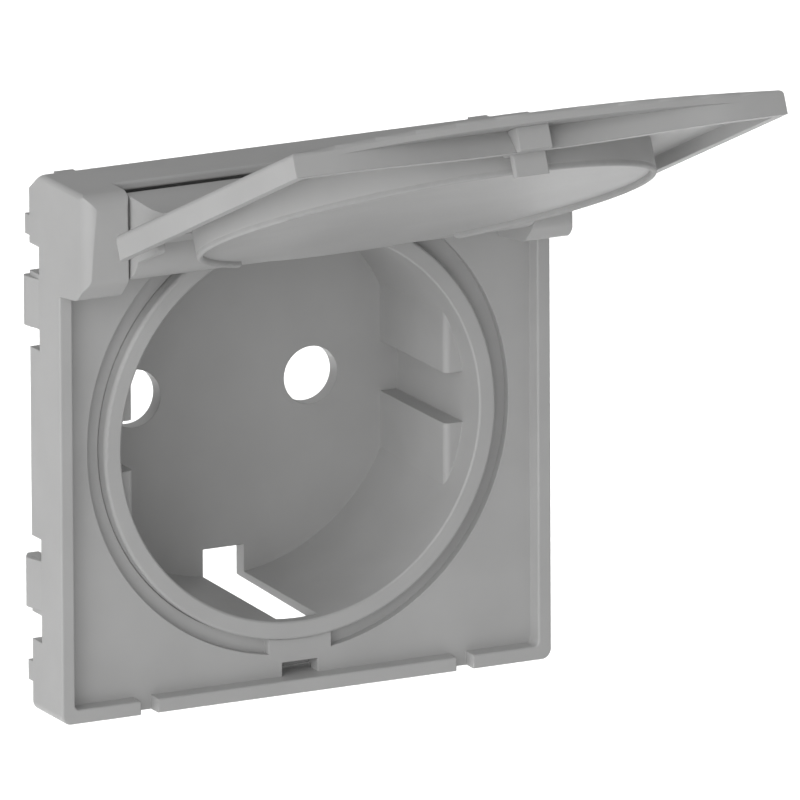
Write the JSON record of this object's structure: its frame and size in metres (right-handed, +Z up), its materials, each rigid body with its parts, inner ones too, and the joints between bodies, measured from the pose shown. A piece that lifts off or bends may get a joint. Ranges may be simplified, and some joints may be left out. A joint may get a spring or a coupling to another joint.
{
  "type": "wall socket cover insert",
  "caption": "Square cover insert of a side-earth wall socket, with a round plug well and a hinged splash-proof lid standing open above it.",
  "frame": {"origin": "on the plug well's axis, in the plane of the skirt's rear edge, which seats on the socket's frame", "axes": "+X to the right seen from the front, +Y into the wall, +Z up; the user stands at -Y"},
  "size_m": [0.0534, 0.0706, 0.0689],
  "materials": {
    "cover_plastic": "satin aluminium-grey moulded plastic",
    "lid_plastic": "satin aluminium-grey moulded plastic",
    "pin_steel": "drawn steel wire",
    "seal_rubber": "soft grey sealing bead"
  },
  "bodies": {
    "cover": {"cover_plate": "cover_plastic", "socket_well": "cover_plastic", "hinge_pin_left": "pin_steel", "hinge_pin_right": "pin_steel"},
    "lid": {"lid_shell": "lid_plastic", "lid_collar": "lid_plastic", "lid_gasket": "seal_rubber", "lid_catch": "lid_plastic"}
  },
  "joints": [
    {"name": "lid_hinge", "type": "hinge", "parent": "cover", "child": "lid", "pos_m": [0, -0.00995, 0.0226], "axis": [-1, 0, 0], "range_deg": [-114, 6]}
  ]
}
